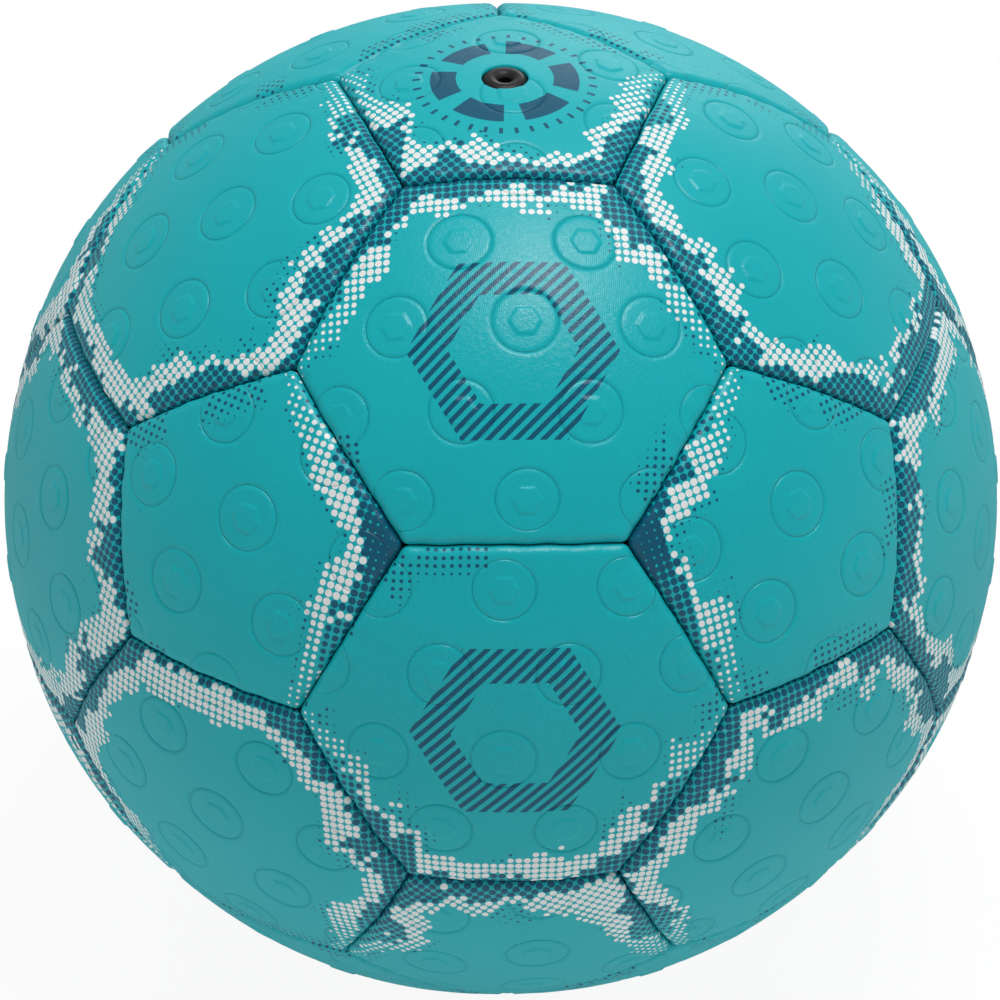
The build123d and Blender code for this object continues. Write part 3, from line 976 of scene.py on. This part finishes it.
# Each lamp's name, power, width and place
TOP_LAMP = ("top_lamp", 8.6, 0.46, (0.17, 0.00, 1.15))
REAR_LAMP = ("rear_lamp", 4.5, 0.60, (0.30, 1.40, 0.25))

floor_level = cad_box[0][2]
rims = [
    (FLOOR_RADIUS * math.cos(bearing), FLOOR_RADIUS * math.sin(bearing), level)
    for level in (floor_level, floor_level + WALL_HEIGHT)
    for bearing in np.arange(WALL_STEPS) * math.tau / WALL_STEPS
]
steps = [(step, (step + 1) % WALL_STEPS) for step in range(WALL_STEPS)]
wall_faces = [(here, after, WALL_STEPS + after, WALL_STEPS + here) for here, after in steps]
floor_mesh = bpy.data.meshes.new("floor")
floor_mesh.from_pydata(rims, [], [range(WALL_STEPS), *wall_faces])
floor = bpy.data.objects.new("floor", floor_mesh)
bpy.context.scene.collection.objects.link(floor)
floor_paint, tree, shader = new_material("floor_paint")
shader.inputs["Base Color"].default_value = FLOOR_WHITE
shader.inputs["Roughness"].default_value = FLOOR_ROUGHNESS
shader.inputs["Specular IOR Level"].default_value = 0.0
path = add(tree, "ShaderNodeLightPath").outputs
seen = math_of(tree, "MAXIMUM", path["Is Camera Ray"], path["Is Glossy Ray"])
seen = math_of(tree, "MAXIMUM", seen, path["Is Transmission Ray"])
glow = add(tree, "ShaderNodeEmission", {"Color": FULL_WHITE, "Strength": FULL_WHITE_STRENGTH})
mix = add(tree, "ShaderNodeMixShader", {0: math_of(tree, "MULTIPLY", seen, FLOOR_SHOWN_SHARE)})
tree.links.new(shader.outputs[0], mix.inputs[1])
tree.links.new(glow.outputs[0], mix.inputs[2])
tree.links.new(mix.outputs[0], tree.nodes["Material Output"].inputs["Surface"])
floor_mesh.materials.append(floor_paint)

scene = bpy.context.scene
scene.view_settings.view_transform = "Standard"
world = bpy.data.worlds.new("studio")
world.use_nodes = True
scene.world = world
background = world.node_tree.nodes["Background"]
background.inputs["Color"].default_value = FULL_WHITE
background.inputs["Strength"].default_value = WORLD_LEVEL

for name, power, size, place in (TOP_LAMP, REAR_LAMP):
    lamp_data = bpy.data.lights.new(name, "AREA")
    lamp_data.energy = power
    lamp_data.size = size
    lamp = bpy.data.objects.new(name, lamp_data)
    lamp.visible_camera = False
    lamp.location = place
    lamp.rotation_euler = (-Vector(place)).to_track_quat("-Z", "Y").to_euler()
    scene.collection.objects.link(lamp)

# Camera
# A long lens that looks down on the ball from the front, so that the valve is just below its upper edge.
# Its place and its turn were fitted to the places where three seams meet.
CAMERA_DISTANCE_SHARE = 10
CAMERA_DISTANCE = CAMERA_DISTANCE_SHARE * BALL_RADIUS
CAMERA_AZIMUTH = math.radians(-1.92)
CAMERA_ELEVATION = math.radians(36.61)
CAMERA_ROLL = math.radians(0.58)
SENSOR_WIDTH = 36.0
LENS = 178.1
SHIFT_X = -0.0006
SHIFT_Y = -0.0012
back = Vector((
    math.sin(CAMERA_AZIMUTH) * math.cos(CAMERA_ELEVATION),
    -math.cos(CAMERA_AZIMUTH) * math.cos(CAMERA_ELEVATION),
    math.sin(CAMERA_ELEVATION),
))
right = Vector((0, 0, 1)).cross(back).normalized()
up = back.cross(right)
turned_right = right * math.cos(CAMERA_ROLL) + up * math.sin(CAMERA_ROLL)
turned_up = up * math.cos(CAMERA_ROLL) - right * math.sin(CAMERA_ROLL)
camera_data = bpy.data.cameras.new("camera")
camera_data.lens = LENS
camera_data.sensor_width = SENSOR_WIDTH
camera_data.shift_x = SHIFT_X
camera_data.shift_y = SHIFT_Y
camera = bpy.data.objects.new("camera", camera_data)
turned = Matrix((turned_right, turned_up, back)).transposed().to_4x4()
camera.matrix_world = Matrix.Translation(back * CAMERA_DISTANCE) @ turned
scene.collection.objects.link(camera)
scene.camera = camera
